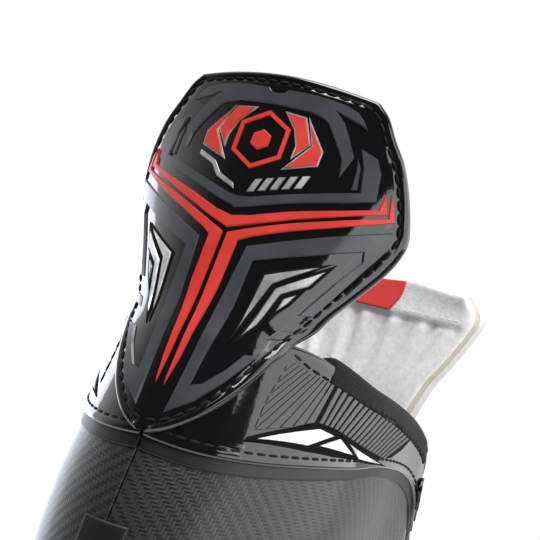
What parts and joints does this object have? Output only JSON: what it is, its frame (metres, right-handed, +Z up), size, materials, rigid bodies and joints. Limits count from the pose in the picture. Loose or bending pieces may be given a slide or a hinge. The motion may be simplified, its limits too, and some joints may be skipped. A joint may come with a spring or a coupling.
{
  "type": "ice hockey skate",
  "caption": "Right-foot ice hockey skate with flexing tendon guard, folding felt tongue, open collar, plastic blade holder and steel runner.",
  "frame": {"origin": "on the ice, at the centre of the footprint of the whole skate", "axes": "+X points to the toe, +Y to the inner side of the right foot, +Z up"},
  "size_m": [0.2823, 0.1052, 0.2679],
  "materials": {
    "textured_shell": "fine woven texture",
    "textured_trim": "satin",
    "toe_plastic": "moulded, semi-gloss",
    "dark_lining": "brushed lining over foam",
    "patent_black": "patent, high gloss",
    "binding_black": "rolled edge",
    "eyelet_metal": "black enamel",
    "guard_black": "embossed high gloss",
    "stiff_insert": "matte",
    "guard_lining": "padded lining",
    "white_felt": "brushed felt",
    "tongue_cover": "satin",
    "red_label": "woven",
    "sole_plastic": "satin",
    "board": "pressed board",
    "footbed_foam": "foam with cloth top",
    "holder_white": "moulded, satin",
    "steel": "ground steel",
    "screw_steel": "zinc plated",
    "rivet_metal": "satin"
  },
  "bodies": {
    "boot": {"ankle_overlay_left": "patent_black", "ankle_overlay_right": "patent_black", "ankle_pad_left": "dark_lining", "ankle_pad_right": "dark_lining", "collar_binding_left": "binding_black", "collar_binding_right": "binding_black", "eyelets_left": "eyelet_metal", "eyelets_right": "eyelet_metal", "eyestay_left": "patent_black", "eyestay_right": "patent_black", "footbed": "footbed_foam", "guard_shield": "guard_black", "heel_strip": "textured_trim", "holder": "holder_white", "insole_board": "board", "liner_left": "dark_lining", "liner_right": "dark_lining", "outsole": "sole_plastic", "quarter_left": "textured_shell", "quarter_right": "textured_shell", "rivets_front": "rivet_metal", "rivets_rear": "rivet_metal", "runner": "steel", "runner_nuts": "screw_steel", "runner_screws": "screw_steel", "toe_cap": "toe_plastic", "toe_lining": "dark_lining", "tongue_lower": "white_felt"},
    "tendon_guard": {"guard_shell": "guard_black", "guard_core": "stiff_insert", "guard_pad": "guard_lining"},
    "tongue": {"tongue_top": "white_felt", "tongue_facing": "tongue_cover", "tongue_label": "red_label"}
  },
  "joints": [
    {"name": "guard_flex", "type": "hinge", "parent": "boot", "child": "tendon_guard", "pos_m": [-0.122, 0, 0.1905], "axis": [0, -1, 0], "range_deg": [0, 20], "stiffness_Nm_per_rad": 3},
    {"name": "tongue_fold", "type": "hinge", "parent": "boot", "child": "tongue", "pos_m": [0.006, 0, 0.176], "axis": [0, 1, 0], "range_deg": [-6, 50], "stiffness_Nm_per_rad": 0.5}
  ]
}
